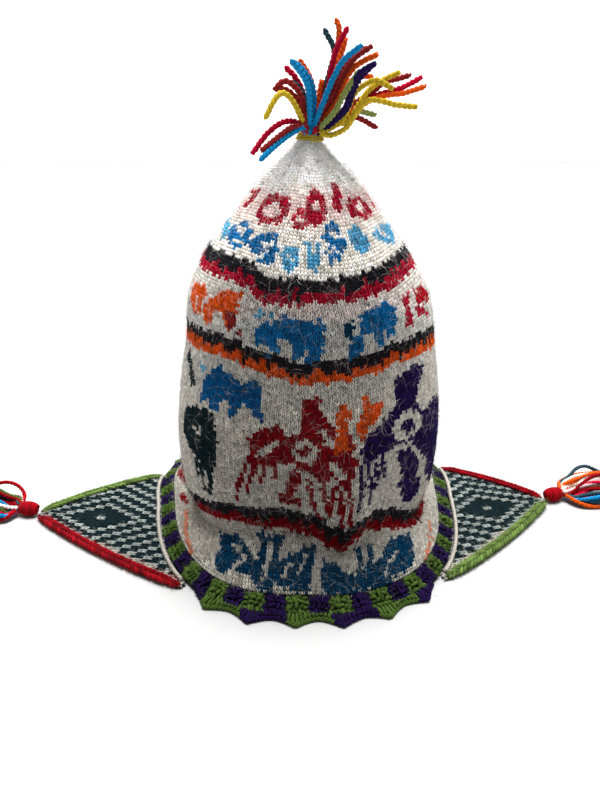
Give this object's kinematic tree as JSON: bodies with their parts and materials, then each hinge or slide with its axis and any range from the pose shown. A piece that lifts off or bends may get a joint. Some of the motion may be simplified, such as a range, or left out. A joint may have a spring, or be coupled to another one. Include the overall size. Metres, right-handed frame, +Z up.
{
  "type": "chullo hat",
  "caption": "Knitted pointed cap with patterned bands, a crocheted border, two triangular earflaps with tassels, and a yarn tuft at its tip",
  "frame": {"origin": "on the floor under the middle of the whole hat's bounding box, earflaps and tassels included", "axes": "+Z up along the crown, the front of the hat faces -Y, the right earflap lies towards +X"},
  "size_m": [0.5517, 0.243, 0.3297],
  "materials": {
    "cream_knit": "brushed alpaca knit, cream ground with coloured bands",
    "green_purple_crochet": "crocheted wool in alternating green and purple blocks",
    "dark_patterned_knit": "dark green knit with off-white chevrons",
    "red_crochet": "red crocheted edge",
    "green_crochet": "green crocheted edge",
    "red_wrap": "red and green yarn wound tight",
    "mixed_yarn": "two-ply yarn strands in many colours",
    "yellow_yarn": "yellow two-ply yarn"
  },
  "bodies": {
    "root": {"crown": "cream_knit", "rim_edging": "green_purple_crochet", "earflap_left": "dark_patterned_knit", "earflap_right": "dark_patterned_knit", "flap_cord_left_front": "red_crochet", "flap_cord_left_back": "green_crochet", "flap_cord_right_front": "green_crochet", "flap_cord_right_back": "red_crochet", "knot_left": "red_wrap", "knot_right": "red_wrap", "tassel_left": "mixed_yarn", "tassel_right": "mixed_yarn", "tuft_tie": "yellow_yarn", "top_tuft": "mixed_yarn"}
  },
  "joints": []
}
